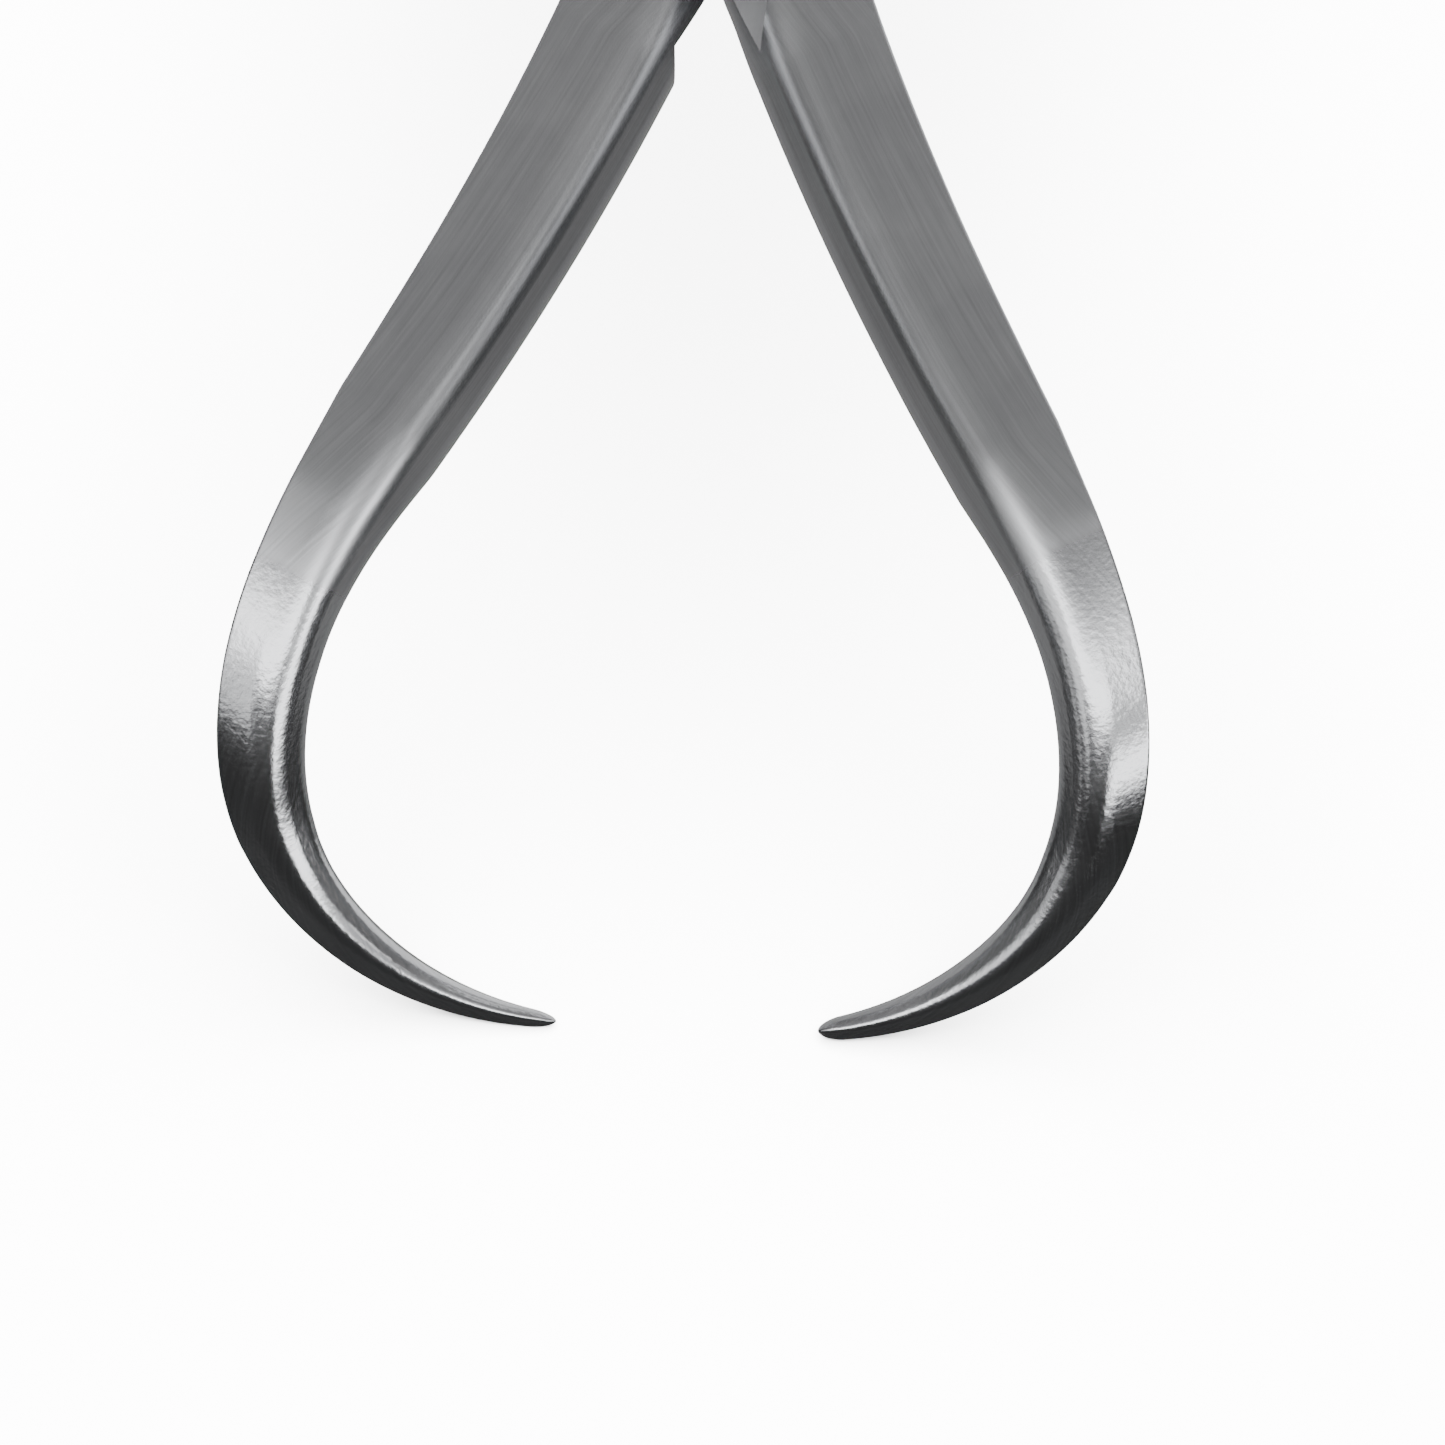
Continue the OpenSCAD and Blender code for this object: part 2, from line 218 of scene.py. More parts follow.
    # the lines fade and the ripple comes in where the knees and horns are buffed
    satin = addNode(m, "ShaderNodeMath", {"operation": "SUBTRACT", 0: 1.0}, {1: polish}).outputs["Value"]
    lineAmount = addNode(m, "ShaderNodeMapRange", {
        "From Min": 0.0, "From Max": 1.0, "To Min": s["linesLeft"], "To Max": 1.0},
        {"Value": satin}).outputs["Result"]
    lineHeight = addNode(m, "ShaderNodeMath", {"operation": "MULTIPLY"},
                         {0: lines, 1: lineAmount}).outputs["Value"]
    strayDip = addNode(m, "ShaderNodeMath", {"operation": "MULTIPLY", 1: -s["strayDepth"]},
                       {0: strayCut}).outputs["Value"]
    height = addNode(m, "ShaderNodeMath", {"operation": "ADD"}, {0: lineHeight, 1: strayDip}).outputs["Value"]
    fine = addNode(m, "ShaderNodeBump", {
        "Strength": s["lineStrength"], "Distance": s["lineDepth"] * mm}, {"Height": height})
    peelHeight = addNode(m, "ShaderNodeMath", {"operation": "MULTIPLY"},
                         {0: peel, 1: polish}).outputs["Value"]
    rippled = addNode(m, "ShaderNodeBump", {
        "Strength": s["peelStrength"], "Distance": s["peelDepth"] * mm},
        {"Height": peelHeight, "Normal": fine.outputs["Normal"]})
    speckled = addNode(m, "ShaderNodeBump", {
        "Strength": s["gritStrength"], "Distance": s["gritDepth"] * mm},
        {"Height": grit, "Normal": rippled.outputs["Normal"]})
    shader = addNode(m, "ShaderNodeBsdfPrincipled", {"Metallic": 1.0}, {
        "Base Color": colour, "Roughness": rough, "Normal": speckled.outputs["Normal"]})
    addNode(m, "ShaderNodeOutputMaterial", links={"Surface": shader.outputs["BSDF"]})
    return m


turnedLook = {
    "darkShare": 0.82,            # of the colour, where the tint is darkest
    "cloudSize": 2.5,             # mm, uneven tint
    "scuffSize": 0.667,           # mm
    "ringDepth": 0.005,           # mm
    "scuffDepth": 0.004,
    "ringStrength": 0.4,
    "scuffStrength": 0.2,
    "ringRough": 0.14,            # roughness added by the rings and by the scuffs
    "scuffRough": 0.08,
}


def makeTurnedSteel(name, colour, roughness, pitch):
    # steel faced on a lathe or a wheel about the screw: fine rings that catch a fan of light
    s = turnedLook
    m = newMaterial(name)
    place = addNode(m, "ShaderNodeTexCoord").outputs["Object"]
    centred = addNode(m, "ShaderNodeMapping", {
        "Location": (-pivotX, -pivotY, 0)}, {"Vector": place}).outputs["Vector"]
    flat = addNode(m, "ShaderNodeMapping", {"Scale": (1, 1, 0)}, {"Vector": centred}).outputs["Vector"]
    radius = addNode(m, "ShaderNodeVectorMath", {"operation": "LENGTH"}, {0: flat}).outputs["Value"]
    turns = addNode(m, "ShaderNodeMath", {"operation": "MULTIPLY", 1: 1000 / pitch},
                    {0: radius}).outputs["Value"]
    rings = addNode(m, "ShaderNodeTexNoise", {
        "noise_dimensions": "1D", "Scale": 1.0, "Detail": 3.0, "Roughness": 0.7},
        {"W": turns}).outputs["Fac"]
    cloud = addNode(m, "ShaderNodeTexNoise", {
        "Scale": 1000 / s["cloudSize"], "Detail": 3.0, "Roughness": 0.6}, {"Vector": place}).outputs["Fac"]
    scuffs = addNode(m, "ShaderNodeTexNoise", {
        "Scale": 1000 / s["scuffSize"], "Detail": 4.0, "Roughness": 0.7}, {"Vector": place}).outputs["Fac"]
    darker = [c * s["darkShare"] for c in hexColour(colour)[:3]] + [1]
    tint = addNode(m, "ShaderNodeValToRGB", {
        "stops": [(0.0, darker), (1.0, hexColour(colour))]}, {"Fac": cloud}).outputs["Color"]
    ringRough = addNode(m, "ShaderNodeMath", {"operation": "MULTIPLY", 1: s["ringRough"]},
                        {0: rings}).outputs["Value"]
    scuffRough = addNode(m, "ShaderNodeMath", {"operation": "MULTIPLY", 1: s["scuffRough"]},
                         {0: scuffs}).outputs["Value"]
    rough = addNode(m, "ShaderNodeMath", {"operation": "ADD", 1: roughness}, {0: ringRough}).outputs["Value"]
    rough = addNode(m, "ShaderNodeMath", {"operation": "ADD"}, {0: rough, 1: scuffRough}).outputs["Value"]
    ringed = addNode(m, "ShaderNodeBump", {
        "Strength": s["ringStrength"], "Distance": s["ringDepth"] * mm}, {"Height": rings})
    worn = addNode(m, "ShaderNodeBump", {
        "Strength": s["scuffStrength"], "Distance": s["scuffDepth"] * mm},
        {"Height": scuffs, "Normal": ringed.outputs["Normal"]})
    shader = addNode(m, "ShaderNodeBsdfPrincipled", {"Metallic": 1.0}, {
        "Base Color": tint, "Roughness": rough, "Normal": worn.outputs["Normal"]})
    addNode(m, "ShaderNodeOutputMaterial", links={"Surface": shader.outputs["BSDF"]})
    return m


forgedSteel = makeForgedSteel()
cheekSteel = makeTurnedSteel("ground stainless cheek", "#bbbcbf", 0.22, 0.10)
screwSteel = makeTurnedSteel("turned stainless screw", "#c6c6c8", 0.16, 0.07)
print("materials ready")


joint = {                                # mm
    "radius": 7.0, "thickness": 6.6, "bevel": 0.5, "lapGap": 0.06, "clearance": 0.2,
    "reliefHalfWidth": 3.1, "reliefEndWidth": 1.15, "reliefReach": 13.5,
    "shankRadius": 2.4, "threadRadius": 2.0, "headRadius": 3.8, "headThickness": 1.3,
    "headRecess": 0.15, "runningClearance": 0.05, "headClearance": 0.15,
    "slotWidth": 0.9, "slotDepth": 0.7, "headBevel": 0.18, "endBevel": 0.22,
}
joint["height"] = screwHigh[2] / mm + joint["headRecess"] - joint["thickness"] / 2

beak = {                                 # mm and degrees
    "crossing": 10.1,
    "plan": [(11.0, 11.7), (11.8, 6.0), (7.4, 2.6), (3.0, -7.6), (8.6, -36.3), (13.65, -73.7)],
    "rightTrim": 1.2,
    "dropAngle": 15.0, "dropRadius": 8.0, "kneeStart": 25.5, "kneeAngle": 55.0, "kneeRadius": 12.6,
    "width": [(0.2, 4.4), (0.44, 3.9), (0.65, 3.3), (0.77, 2.75), (0.88, 1.75), (1.0, 0.5)],
    "depth": [(0.08, 5.9), (0.22, 4.6), (0.5, 4.6), (0.76, 3.0), (1.0, 0.55)],
    "ridge": [(0.5, 0.2), (0.76, 0.42), (1.0, 0.2)],
    "shoulder": [(0.55, 0.5), (0.78, 0.08)],
    "waist": [(0.5, -0.05), (0.78, 0.08)],
    "foot": [(0.5, 0.86), (0.78, 0.6)],
    "soft": [(0.5, 1.0), (0.78, 1.3)],
    "cuts": [0.12, 1.3, 1.3, 0.6, 1.15], "cutDepth": 4.6,     # rounding of each edge on a bar this deep
    "tipRounding": 0.8,
    "ringStep": 0.3,
}
beakLength = sum(run[0] for run in beak["plan"])
dropRun = beak["dropRadius"] * radians(beak["dropAngle"])
kneeRun = beak["kneeRadius"] * radians(beak["kneeAngle"])
beakSide = [(joint["radius"], 0.0), (dropRun, beak["dropAngle"]),
            (beak["kneeStart"] - joint["radius"] - dropRun, 0.0), (kneeRun, beak["kneeAngle"]),
            (beakLength, 0.0)]

handle = {                               # mm and degrees
    "length": 140.0, "neck": 11.0, "shank": 16.0, "flare": 9.6, "bow": 15.7, "bowLength": 76.0,
    "tailTurn": 2.0, "droopStart": 9.0, "droopRadius": 60.0,
    "neckWidth": 4.4, "neckDepth": 5.9, "shankWidth": 5.0, "shankDepth": 5.4,
    "gripWidth": 7.4, "gripDepth": 9.4, "rounding": 3.6,
    "shankGrowth": 0.6, "startNarrower": 0.8, "startThinner": 1.2, "fullAfter": 25.0,
    "neckCut": 1.1, "gripCutMore": 1.9, "outerCut": 0.3, "grooveFade": 1.0,
    "ringStep": 0.8, "grooveRingStep": 0.25,
    "grooveStart": 52.0, "grooveMargin": 10.0, "pitch": 2.0, "acrossPitch": 1.5, "grooveDepth": 0.35,
}
handleTail = handle["length"] - handle["neck"] - handle["shank"] - handle["bowLength"]
handlePlan = [(handle["neck"], handle["flare"]), (handle["shank"], 0.0),
              (handle["bowLength"], -handle["bow"]), (handleTail, -handle["tailTurn"])]


def follow(runs, distance, heading):     # offset to the side, distance ahead, heading in degrees
    side = ahead = 0.0
    for i, (length, turn) in enumerate(runs):
        run = distance if i == len(runs) - 1 else min(distance, length)
        turned = turn * run / length
        if abs(turned) < 0.0001:
            side += run * sin(radians(heading))
            ahead += run * cos(radians(heading))
        else:
            curve = radians(turned) / run
            side += (cos(radians(heading)) - cos(radians(heading + turned))) / curve
            ahead += (sin(radians(heading + turned)) - sin(radians(heading))) / curve
        heading += turned
        distance -= run
        if distance <= 0:
            break
    return side, ahead, heading


def between(value, table):
    if value <= table[0][0]:
        return table[0][1]
    for (a, va), (b, vb) in zip(table, table[1:]):
        if value <= b:
            return va + (vb - va) * (value - a) / (b - a)
    return table[-1][1]


def findDroop():                         # the handle ends stand level with the horn tips
    end = follow(beak["plan"], beakLength, beak["crossing"])
    drop = follow(beakSide, end[1], 0.0)[0] + beak["depth"][-1][1] / 2
    reach = follow(handlePlan, handle["length"] - handle["rounding"], beak["crossing"])[1]
    angle = radians(8)
    for _ in range(9):
        arcDrop = handle["droopRadius"] * (1 - cos(angle))
        wanted = drop - handle["gripDepth"] / 2 * cos(angle) - arcDrop
        angle = asin(wanted / (reach - handle["droopStart"] - handle["droopRadius"] * angle))
    return degrees(angle)


droop = findDroop()
handleSide = [(handle["droopStart"], 0.0), (handle["droopRadius"] * radians(droop), droop),
              (handle["length"], 0.0)]
cornerSteps = 6
flatPlaces = (0.03, 0.14, 0.28, 0.42, 0.58, 0.72, 0.86, 0.97)


def soften(corners, cuts):               # rounds the corners and puts points along the flats
    points = []
    count = len(corners)
    spans = []
    for i in range(count):
        last, here, ahead = corners[i - 1], corners[i], corners[(i + 1) % count]
        toLast, toNext = last - here, ahead - here
        a = here + toLast.normalized() * min(cuts[i], toLast.length * 0.48)
        b = here + toNext.normalized() * min(cuts[i], toNext.length * 0.48)
        spans.append((a, here, b))
    for i in range(count):
        a, here, b = spans[i]
        for step in range(cornerSteps + 1):
            u = step / cornerSteps
            points.append((1 - u) ** 2 * a + 2 * u * (1 - u) * here + u * u * b)
        start, stop = b, spans[(i + 1) % count][0]
        for u in flatPlaces:
            points.append(start.lerp(stop, u))
    return points


def beakSection(s, end):
    f = s / beakLength
    left = end - s
    shrink = 1.0
    if left < beak["tipRounding"]:
        shrink = sqrt(max(1 - (1 - left / beak["tipRounding"]) ** 2, 0.0144))
    w = shrink * between(f, beak["width"])
    d = shrink * between(f, beak["depth"])
    ridge, shoulder = between(f, beak["ridge"]), between(f, beak["shoulder"])
    waist, foot = between(f, beak["waist"]), between(f, beak["foot"])
    soft = between(f, beak["soft"]) * d / beak["cutDepth"]
    corners = [Vector(p) for p in (
        (w / 2, d * shoulder), (w / 2 * foot, -d / 2), (-w / 2 * foot, -d / 2),
        (-w / 2, d * waist), (-w / 2 + w * ridge, d / 2))]
    return soften(corners, [c * soft for c in beak["cuts"]])


def notch(value, pitch, share=0.3):      # 0 on the land, 1 at the bottom of a V groove
    part = value / pitch - floor(value / pitch)
    return max(0.0, 1 - abs(part - 0.5) / share)


def handleSection(s):
    h = handle
    left = h["length"] - s
    shrink = 1.0
    if left < h["rounding"]:
        shrink = sqrt(max(1 - (1 - left / h["rounding"]) ** 2, 0.04))
    w = shrink * between(s, [(4, h["neckWidth"]), (h["neck"], h["shankWidth"]),
                             (h["neck"] + h["shank"], h["shankWidth"]),
                             (h["grooveStart"], h["gripWidth"] - h["startNarrower"]),
                             (h["length"] - h["grooveMargin"], h["gripWidth"])])
    d = shrink * between(s, [(4, h["neckDepth"]), (h["neck"], h["shankDepth"]),
                             (h["neck"] + h["shank"], h["shankDepth"] + h["shankGrowth"]),
                             (h["grooveStart"], h["gripDepth"] - h["startThinner"]),
                             (h["grooveStart"] + h["fullAfter"], h["gripDepth"]),
                             (h["length"], h["gripDepth"])])
    grip = between(s, [(h["neck"], 0.0), (h["grooveStart"], 1.0)])
    cut = h["neckCut"] + h["gripCutMore"] * grip
    corners = [Vector(p) for p in (
        (w / 2, d / 2), (w / 2, -d / 2), (-w / 2, -d / 2), (-w / 2, 0), (-w / 2, d / 2))]
    points = soften(corners, [cut, cut, cut * shrink, h["outerCut"], cut * shrink])
    end = h["length"] - h["grooveMargin"]
    if h["grooveStart"] < s < end:
        fade = min(1.0, (s - h["grooveStart"]) / h["grooveFade"], (end - s) / h["grooveFade"])
        for p in points:
            if p[0] < -w * 0.3:
                edge = max(0.0, min(1.0, (-w * 0.3 - p[0]) / (w * 0.12)))
                deep = max(notch(s - h["grooveStart"], h["pitch"]), notch(p[1], h["acrossPitch"]))
                p[0] += h["grooveDepth"] * deep * fade * edge
    return points


def beakRing(s, end):
    side, ahead, heading = follow(beak["plan"], s, beak["crossing"])
    drop, forward, slope = follow(beakSide, ahead, 0.0)
    h, a = radians(heading), radians(slope)
    middle = Vector((side, -forward, -drop))
    across = Vector((cos(h), sin(h) * cos(a), sin(h) * sin(a)))
    front = Vector((0, -sin(a), cos(a)))
    return [middle + p[0] * across + p[1] * front for p in beakSection(s, end)]


def handleRing(s):
    side, ahead, heading = follow(handlePlan, s, beak["crossing"])
    drop, back, slope = follow(handleSide, ahead, 0.0)
    h, a = radians(heading), radians(slope)
    middle = Vector((-side, back, -drop))
    across = Vector((cos(h), sin(h) * cos(a), -sin(h) * sin(a)))
    front = Vector((0, sin(a), cos(a)))
    return [middle + p[0] * across + p[1] * front for p in handleSection(s)]


def barRings(trim):                      # (mm along the bar, ring of points), from horn tip to handle end
    end = beakLength - trim
    rings = []
    for left in (0.0, 0.02, 0.06, 0.12, 0.2, 0.3, 0.42, 0.54, 0.68):
        rings.append((-(end - left), beakRing(end - left, end)))
    count = int((end - beak["tipRounding"]) / beak["ringStep"])
    for i in range(count + 1):
        s = (end - beak["tipRounding"]) * (1 - i / count)
        rings.append((-s, beakRing(s, end)))
    h = handle
    stations = [h["ringStep"] * i for i in range(1, int(h["grooveStart"] / h["ringStep"]))]
    s = h["grooveStart"]
    while s < h["length"] - h["grooveMargin"]:
        stations.append(s)
        s += h["grooveRingStep"]
    while s < h["length"] - h["rounding"]:
        stations.append(s)
        s += h["ringStep"]
    stations += [h["length"] - left for left in (3.6, 3.0, 2.4, 1.8, 1.3, 0.9, 0.55, 0.3, 0.12, 0.0)]
    rings += [(s, handleRing(s)) for s in stations]
    return rings


def makeBar(name, trim, flip):
    rings = barRings(trim)
    rows, cols = len(rings), len(rings[0][1])
    bpy.ops.mesh.primitive_grid_add(x_subdivisions=cols, y_subdivisions=rows - 1, size=1.0)
    piece = bpy.context.object
    piece.name = name
    mesh = piece.data
    girths = []
    for _, ring in rings:                # mm round the bar
        run, total = [0.0], 0.0
        for j in range(cols):
            total += (ring[(j + 1) % cols] - ring[j]).length
            run.append(total)
        girths.append(run)
    cell = {}
    places = []
    for vertex in mesh.vertices:
        col = round((vertex.co.x + 0.5) * cols)
        row = round((vertex.co.y + 0.5) * (rows - 1))
        cell[vertex.index] = (row, col)
        point = rings[row][1][col % cols]
        places += [point.x * (-1 if flip else 1), point.y, point.z]
    uvs = []
    for loop in mesh.loops:
        row, col = cell[loop.vertex_index]
        uvs += [girths[row][col], rings[row][0]]
    mesh.vertices.foreach_set("co", places)
    mesh.uv_layers[0].name = "UVMap"
    mesh.uv_layers[0].data.foreach_set("uv", uvs)
    mesh.update()
    onlySelect(piece)
    bpy.ops.object.mode_set(mode="EDIT")
    bpy.ops.mesh.select_all(action="SELECT")
    bpy.ops.mesh.remove_doubles(threshold=0.002)
    bpy.ops.mesh.select_all(action="DESELECT")
    bpy.ops.mesh.select_mode(type="VERT")
    bpy.ops.mesh.select_non_manifold()
    bpy.ops.mesh.edge_face_add()         # closes both ends
    bpy.ops.mesh.select_all(action="SELECT")
    bpy.ops.mesh.normals_make_consistent(inside=False)
    bpy.ops.object.mode_set(mode="OBJECT")
    piece.data.materials.append(forgedSteel)
    return piece


def roundTool(radius, low, high, sides=128):
    bpy.ops.mesh.primitive_cylinder_add(vertices=sides, radius=radius, depth=high - low,
                                        location=(0, 0, (low + high) / 2))
    tool = bpy.context.object
    settle(tool)
    return tool


def boxTool(low, high):
    bpy.ops.mesh.primitive_cube_add(size=1, location=[(a + b) / 2 for a, b in zip(low, high)])
    tool = bpy.context.object
    tool.scale = [b - a for a, b in zip(low, high)]
    settle(tool)
    return tool


def reliefTool(low, high):               # tapers towards both ends
    j = joint
    wide, reach = j["reliefHalfWidth"], j["reliefReach"]
    tool = boxTool((-wide, -reach, low), (wide, reach, high))
    onlySelect(tool)
    bpy.ops.object.mode_set(mode="EDIT")
    bpy.ops.mesh.select_all(action="SELECT")
    bpy.ops.mesh.bisect(plane_co=(0, 0, 0), plane_no=(0, 1, 0), clear_inner=False, clear_outer=False)
    narrow = j["reliefEndWidth"] / wide
    for way in (-1, 1):
        pickFaces(tool, lambda centre, normal: normal.y * way > 0.9)
        bpy.ops.transform.resize(value=(narrow, 1, 1), center_override=(0, 0, 0))
    bpy.ops.object.mode_set(mode="OBJECT")
    return tool


def makeCheek(up):
    j = joint
    low, high = j["lapGap"] / 2, j["thickness"] / 2
    cheek = roundTool(j["radius"], low, high, 160)
    cheek.data.materials.append(cheekSteel)
    onlySelect(cheek)
    bpy.ops.object.mode_set(mode="EDIT")
    pickEdges(cheek, lambda a, b: min(a.z, b.z) > high - 0.01 and min(a.xy.length, b.xy.length) > 1)
    bpy.ops.mesh.bevel(offset=j["bevel"], segments=5, profile=0.55)
    bpy.ops.object.mode_set(mode="OBJECT")
    if not up:
        cheek.scale = (1, 1, -1)
        settle(cheek)
        bpy.ops.object.mode_set(mode="EDIT")
        bpy.ops.mesh.select_all(action="SELECT")
        bpy.ops.mesh.normals_make_consistent(inside=False)
        bpy.ops.object.mode_set(mode="OBJECT")
    return cheek


def finishPiece(piece, nodeName, body, angle):
    piece.scale = (mm, mm, mm)
    piece.location = (pivotX, pivotY, joint["height"] * mm)
    settle(piece)
    onlySelect(piece)
    bpy.ops.object.shade_smooth_by_angle(angle=radians(angle))
    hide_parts(nodeName)
    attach(piece, body)


def makeHalf(name, nodeName, body, trim, up):
    j = joint
    half = makeBar(name, trim, flip=up)
    far = 30.0
    edge = j["lapGap"] / 2
    low, high = (-far, edge) if up else (-edge, far)
    cutOrJoin(half, roundTool(j["radius"] + j["clearance"], low, high), "DIFFERENCE")
    cutOrJoin(half, reliefTool(low, high), "DIFFERENCE")
    cutOrJoin(half, makeCheek(up), "UNION")
    bore = j["shankRadius"] + j["runningClearance"] if up else j["threadRadius"]
    cutOrJoin(half, roundTool(bore, -far, far, 96), "DIFFERENCE")
    if up:
        seat = j["thickness"] / 2 - j["headRecess"] - j["headThickness"]
        cutOrJoin(half, roundTool(j["headRadius"] + j["headClearance"], seat, far, 128), "DIFFERENCE")
    finishPiece(half, nodeName, body, 28)
    print(name, "done,", len(half.data.polygons), "faces")
    return half


lowerHalf = makeHalf("lowerHalf", "lower_half", "lower_jaw", beak["rightTrim"], up=False)
upperHalf = makeHalf("upperHalf", "upper_half", "upper_jaw", 0.0, up=True)


def makeScrew():
    j = joint
    top = j["thickness"] / 2 - j["headRecess"]
    headLow = top - j["headThickness"] + j["lapGap"] / 2
    bottom = -j["thickness"] / 2 + j["headRecess"]
    screw = roundTool(j["threadRadius"], bottom, -j["lapGap"] / 2, 96)
    screw.name = "jointScrew"
    screw.data.materials.append(screwSteel)
    onlySelect(screw)
    bpy.ops.object.mode_set(mode="EDIT")

    steps = [(-j["lapGap"] / 2, j["threadRadius"]), (headLow, j["shankRadius"]), (top, j["headRadius"])]
    for (peak, narrow), (high, wide) in zip(steps, steps[1:]):    # widens the top face, then pulls it up
        pickFaces(screw, lambda centre, normal: normal.z > 0.9 and centre.z > peak - 0.001)
        bpy.ops.mesh.extrude_region_move(TRANSFORM_OT_translate={"value": (0, 0, 0)})
        bpy.ops.transform.resize(value=(wide / narrow, wide / narrow, 1), center_override=(0, 0, peak))
        bpy.ops.mesh.extrude_region_move(TRANSFORM_OT_translate={"value": (0, 0, high - peak)})
    pickEdges(screw, lambda a, b: a.z > top - 0.01 and b.z > top - 0.01)
    bpy.ops.mesh.bevel(offset=j["headBevel"], segments=4)
    pickEdges(screw, lambda a, b: a.z < bottom + 0.01 and b.z < bottom + 0.01)
    bpy.ops.mesh.bevel(offset=j["endBevel"], segments=3)
    bpy.ops.object.mode_set(mode="OBJECT")
    slot = boxTool((-10, -j["slotWidth"] / 2, top - j["slotDepth"]), (10, j["slotWidth"] / 2, top + 5))
    cutOrJoin(screw, slot, "DIFFERENCE")
    finishPiece(screw, "joint_screw", "lower_jaw", 28)
    print("screw done,", len(screw.data.polygons), "faces")
    return screw


jointScrew = makeScrew()


studio = {
    "floorColour": "#f4f4f4",
    "elevation": 55.0, "roll": -2.844,   # degrees
    "pixelsPerMm": 30.0, "distance": 900.0,
    "centreSide": 1.28, "centreDown": 31.95, "centreNear": 8.0,   # mm from the joint
    "fillPower": 1000.0,
    # what the steel mirrors: brightness by degrees above the horizon, ahead of it and behind it
    "brightest": 8.0, "behindFrom": 82.0, "behindTo": 92.0,
    "aheadBands": [(-90, 0.05), (-60, 0.09), (-50, 0.06), (-30, 0.05), (-8, 0.06), (8, 0.12),
                   (11, 0.2), (15, 6.5), (25, 5.5), (33, 4.2), (38, 2.0), (46, 1.0), (56, 0.6),
                   (70, 0.4), (90, 0.36)],
    "behindBands": [(-90, 0.3), (-66, 0.3), (-60, 0.33), (-41, 0.36), (-35, 0.2), (-29, 0.08),
                    (2, 0.08), (20, 0.12), (40, 0.22), (60, 0.36), (75, 0.36), (90, 0.36)],
}
patches = [                              # degrees to the right of straight ahead, and up
    {"aside": (30, 68), "up": (-14, 0), "soft": 4, "level": 6.0},
    {"aside": (36, 66), "up": (2, 34), "soft": 6, "level": 1.1},
    {"aside": (-62, -36), "up": (-3, 20), "soft": 5, "level": 2.0},
    {"aside": (-74, -62), "up": (-18, 30), "soft": 4, "level": 1.0},
    {"aside": (-104, -58), "up": (30, 66), "soft": 9, "level": 0.4},
    {"aside": (58, 104), "up": (30, 66), "soft": 9, "level": 0.44},
    {"aside": (-104, -74), "up": (-4, 30), "soft": 7, "level": 0.2},
    {"aside": (76, 104), "up": (-10, 30), "soft": 7, "level": 0.22},
    {"aside": (-102, -78), "up": (-32, -10), "soft": 6, "level": 0.05},
    {"aside": (76, 98), "up": (-34, -16), "soft": 6, "level": 0.04},
    {"aside": (112, 190), "up": (-24, 50), "soft": 8, "level": 1.6},
    {"aside": (-190, -112), "up": (-30, 40), "soft": 8, "level": 0.6},
]


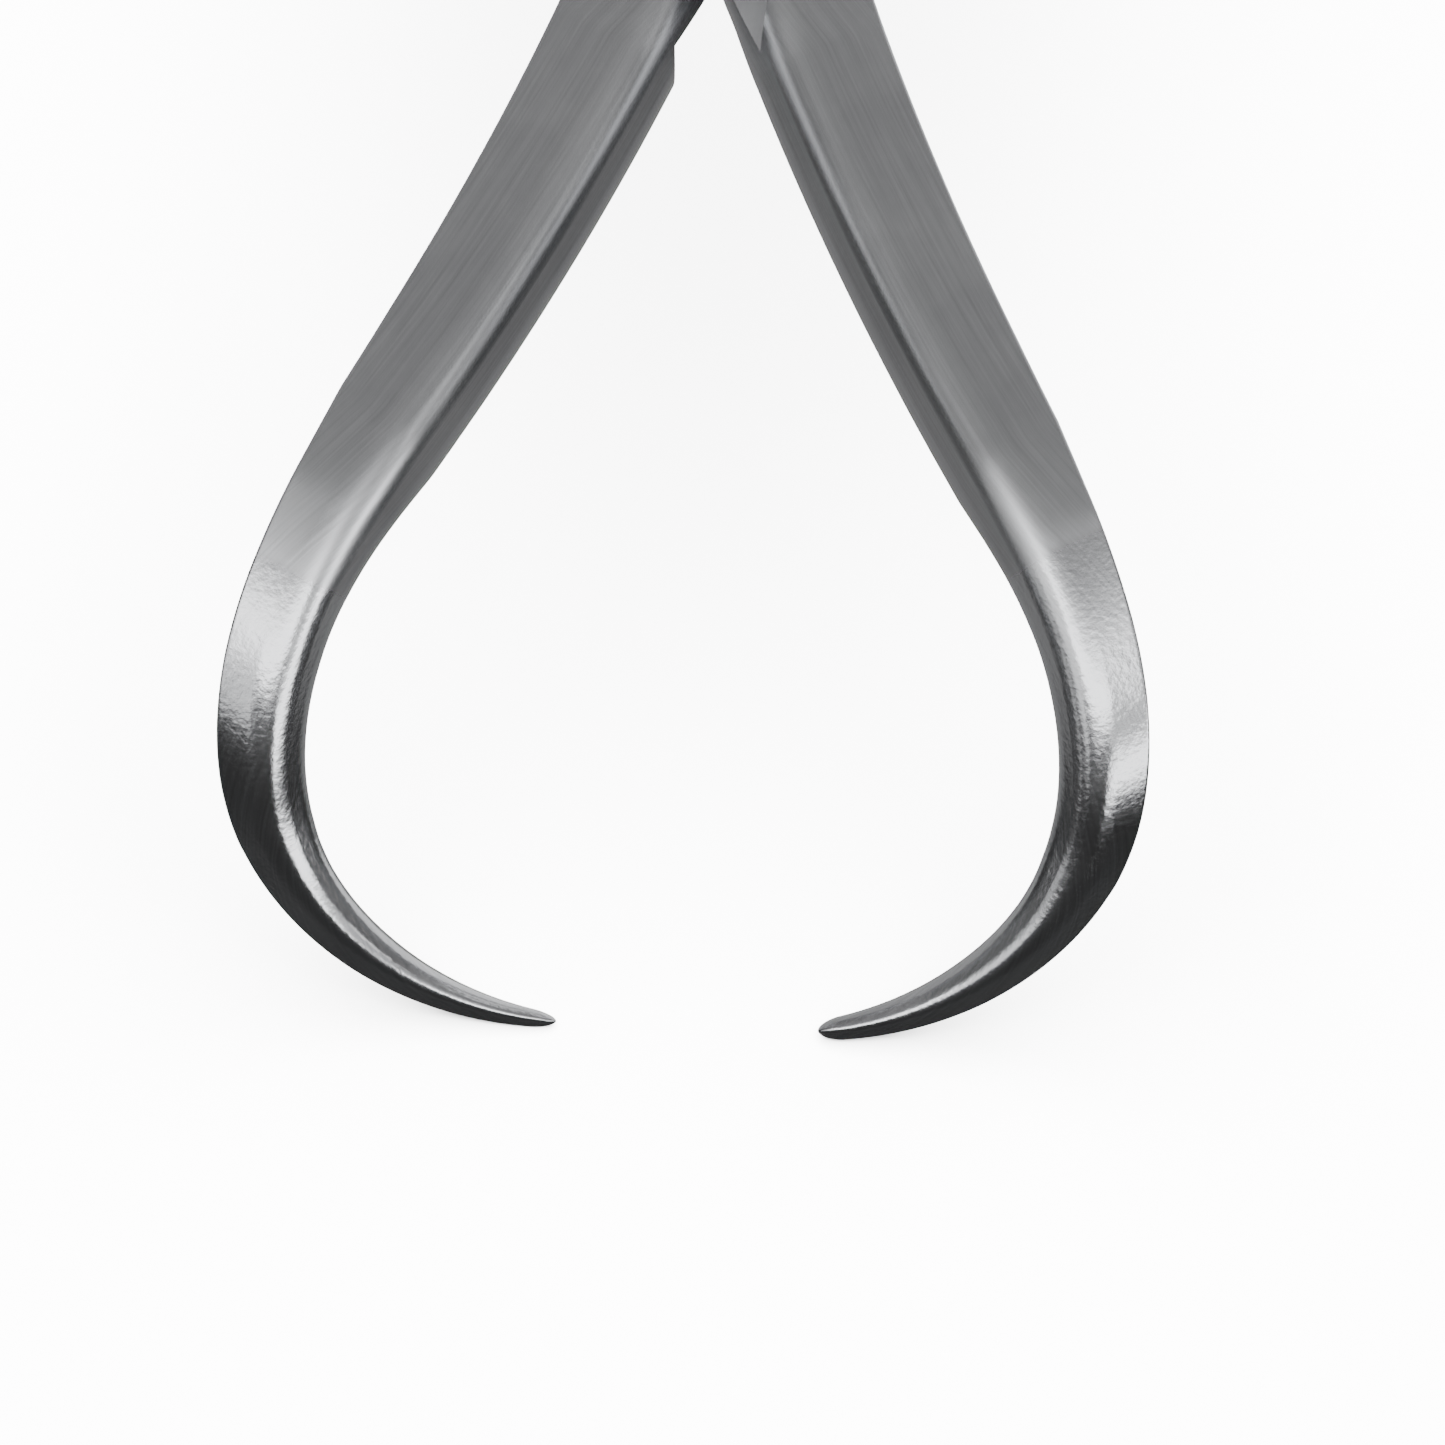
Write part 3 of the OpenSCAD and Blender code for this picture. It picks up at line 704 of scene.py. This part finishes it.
def makeStudio():
    s = studio
    bpy.ops.mesh.primitive_circle_add(vertices=96, radius=6.0, fill_type="NGON", location=(0, 0, 0))
    floor = bpy.context.object
    floor.name = "paleFloor"
    m = newMaterial("matt white card")   # a pale ground with no shine and a faint fibre
    place = addNode(m, "ShaderNodeTexCoord").outputs["Object"]
    fibre = addNode(m, "ShaderNodeTexNoise", {"Scale": 600.0, "Detail": 3.0},
                    {"Vector": place}).outputs["Fac"]
    bump = addNode(m, "ShaderNodeBump", {"Strength": 0.05, "Distance": 0.0001}, {"Height": fibre})
    shader = addNode(m, "ShaderNodeBsdfPrincipled", {
        "Base Color": hexColour(s["floorColour"]), "Roughness": 0.9}, {"Normal": bump.outputs["Normal"]})
    addNode(m, "ShaderNodeOutputMaterial", links={"Surface": shader.outputs["BSDF"]})
    floor.data.materials.append(m)
    floor.visible_glossy = False         # keeps the steel from mirroring the card

    world = bpy.data.worlds.new("studio")
    bpy.context.scene.world = world
    world.use_nodes = True
    world.node_tree.nodes.clear()
    direction = addNode(world, "ShaderNodeTexCoord").outputs["Generated"]
    split = addNode(world, "ShaderNodeSeparateXYZ", links={"Vector": direction})
    height = addNode(world, "ShaderNodeMapRange", {"From Min": -1.0, "From Max": 1.0},
                     {"Value": split.outputs["Z"]}).outputs["Result"]
    ahead = addNode(world, "ShaderNodeMath", {"operation": "MULTIPLY", 1: -1.0},
                    {0: split.outputs["Y"]}).outputs["Value"]
    aside = addNode(world, "ShaderNodeMath", {"operation": "ARCTAN2"},
                    {0: split.outputs["X"], 1: ahead}).outputs["Value"]
    up = addNode(world, "ShaderNodeMath", {"operation": "ARCSINE"}, {0: split.outputs["Z"]}).outputs["Value"]
    around = addNode(world, "ShaderNodeMath", {"operation": "ABSOLUTE"}, {0: aside}).outputs["Value"]
    behind = addNode(world, "ShaderNodeMapRange", {
        "interpolation_type": "SMOOTHSTEP", "From Min": radians(s["behindFrom"]),
        "From Max": radians(s["behindTo"])}, {"Value": around}).outputs["Result"]
    level, behindLevel = [
        addNode(world, "ShaderNodeValToRGB", {"stops": heights(bands)}, {"Fac": height}).outputs["Color"]
        for bands in (s["aheadBands"], s["behindBands"])]
    level = addNode(world, "ShaderNodeMix", {"data_type": "FLOAT"}, {
        "Factor": behind, "A": level, "B": behindLevel}).outputs["Result"]
    for patch in patches:
        left, right = patch["aside"]
        low, high = patch["up"]
        soft = patch["soft"]
        edges = [(aside, left - soft, left, 0.0, 1.0), (aside, right, right + soft, 1.0, 0.0),
                 (up, low - soft, low, 0.0, 1.0), (up, high, high + soft, 1.0, 0.0)]
        mask = None
        for source, start, end, first, last in edges:
            edge = addNode(world, "ShaderNodeMapRange", {
                "interpolation_type": "SMOOTHSTEP", "From Min": radians(start), "From Max": radians(end),
                "To Min": first, "To Max": last}, {"Value": source}).outputs["Result"]
            mask = edge if mask is None else addNode(
                world, "ShaderNodeMath", {"operation": "MULTIPLY"}, {0: mask, 1: edge}).outputs["Value"]
        shade = patch["level"] / s["brightest"]
        level = addNode(world, "ShaderNodeMix", {"data_type": "FLOAT", "B": shade}, {
            "Factor": mask, "A": level}).outputs["Result"]
    light = addNode(world, "ShaderNodeBackground", {"Strength": s["brightest"]}, {"Color": level})
    addNode(world, "ShaderNodeOutputWorld", links={"Surface": light.outputs["Background"]})


def heights(bands):                      # degrees above the horizon to a place on the ramp
    return [((sin(radians(angle)) + 1) / 2, level / studio["brightest"]) for angle, level in bands]


def softbox(name, azimuth, elevation, distance, width, height, power):
    e, a = radians(elevation), radians(azimuth)
    away = Vector((sin(a) * cos(e), -cos(a) * cos(e), sin(e)))
    target = Vector((pivotX, pivotY - 0.03, 0.012))
    light = bpy.data.lights.new(name, "AREA")
    light.shape = "RECTANGLE"
    light.size, light.size_y = width, height
    light.energy = power
    lamp = bpy.data.objects.new(name, light)
    bpy.context.collection.objects.link(lamp)
    lamp.location = target + away * distance
    lamp.rotation_euler = away.to_track_quat("Z", "Y").to_euler()
    return lamp


def makeCamera():
    s = studio
    e, t = radians(s["elevation"]), radians(s["roll"])
    right = Vector((1, 0, 0))
    down = Vector((0, -sin(e), -cos(e)))
    toCamera = Vector((0, -cos(e), sin(e)))
    pivot = Vector((pivotX, pivotY, joint["height"] * mm))
    place = pivot + (right * s["centreSide"] + down * s["centreDown"]
                     + toCamera * (s["centreNear"] + s["distance"])) * mm
    cameraRight = cos(t) * right + sin(t) * down
    cameraUp = sin(t) * right - cos(t) * down
    camera = bpy.data.objects.new("camera", bpy.data.cameras.new("camera"))
    bpy.context.collection.objects.link(camera)
    turn = Matrix((cameraRight, cameraUp, toCamera)).transposed().to_4x4()
    camera.matrix_world = Matrix.Translation(place) @ turn
    camera.data.sensor_width = 36
    camera.data.lens = 36 * s["distance"] / (1445 / s["pixelsPerMm"])
    camera.data.clip_start = 0.01
    bpy.context.scene.camera = camera


makeStudio()
fill = softbox("skyFill", 0, 90, 2.0, 3.0, 3.0, studio["fillPower"])
fill.visible_glossy = False              # lights the card without a mirror image in the steel
makeCamera()
print("studio ready")
